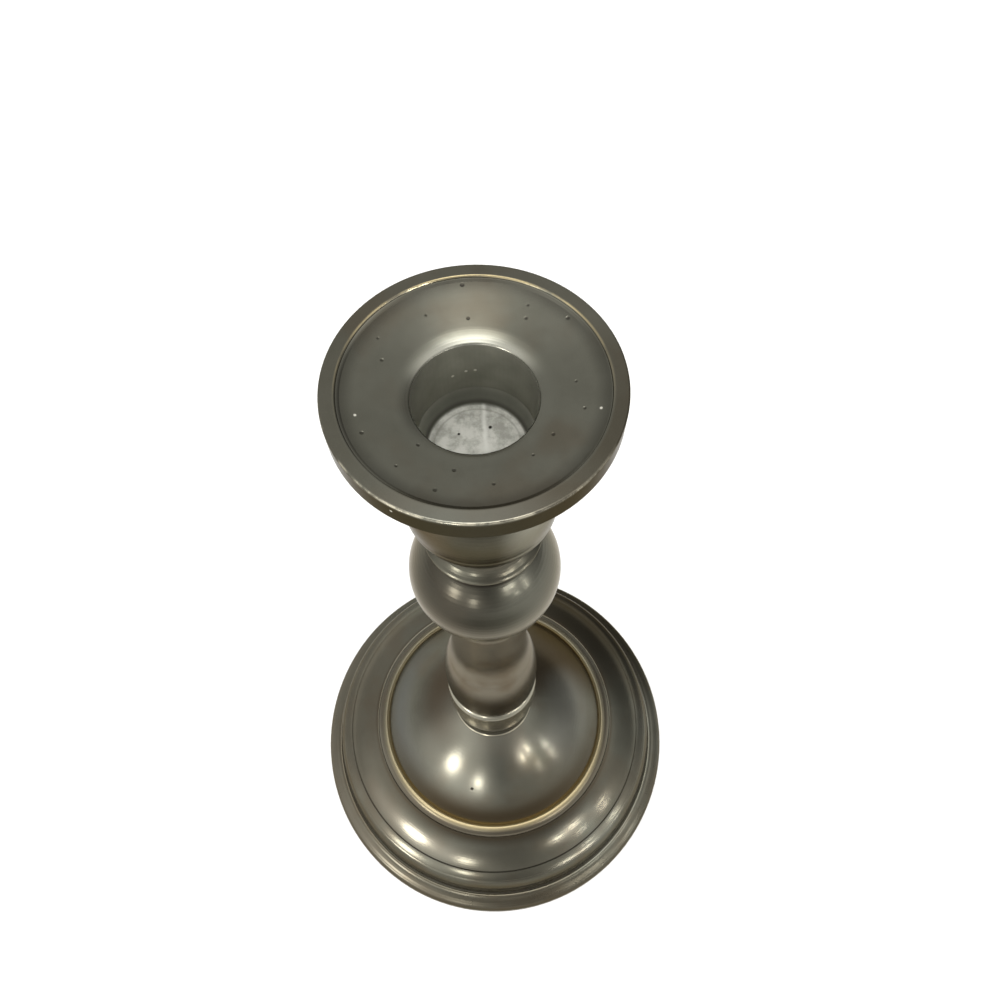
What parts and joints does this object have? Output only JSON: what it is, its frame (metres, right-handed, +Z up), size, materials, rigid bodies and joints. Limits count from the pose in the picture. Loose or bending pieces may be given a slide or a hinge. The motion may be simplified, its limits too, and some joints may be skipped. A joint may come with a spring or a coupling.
{
  "type": "taper candle holder",
  "caption": "Tall turned metal holder for a taper candle: round drip pan with a bored socket, knopped stem and a broad domed base on a hidden tie rod.",
  "frame": {"origin": "centre of the face the base stands on, on the turning axis", "axes": "+Z up along the turning axis, from the foot to the candle"},
  "size_m": [0.1471, 0.1472, 0.281],
  "materials": {
    "patinated_metal": "satin dark olive-grey patina over a pale cast metal, rubbed to a warm brass tone on the sharp edges",
    "zinc_steel": "zinc plated"
  },
  "bodies": {
    "root": {"candle_cup": "patinated_metal", "neck_collar": "patinated_metal", "ball_knop": "patinated_metal", "baluster": "patinated_metal", "foot_bead": "patinated_metal", "base": "patinated_metal", "tie_rod": "zinc_steel", "plain_washer": "zinc_steel", "spring_washer": "zinc_steel", "hex_nut": "zinc_steel"}
  },
  "joints": []
}
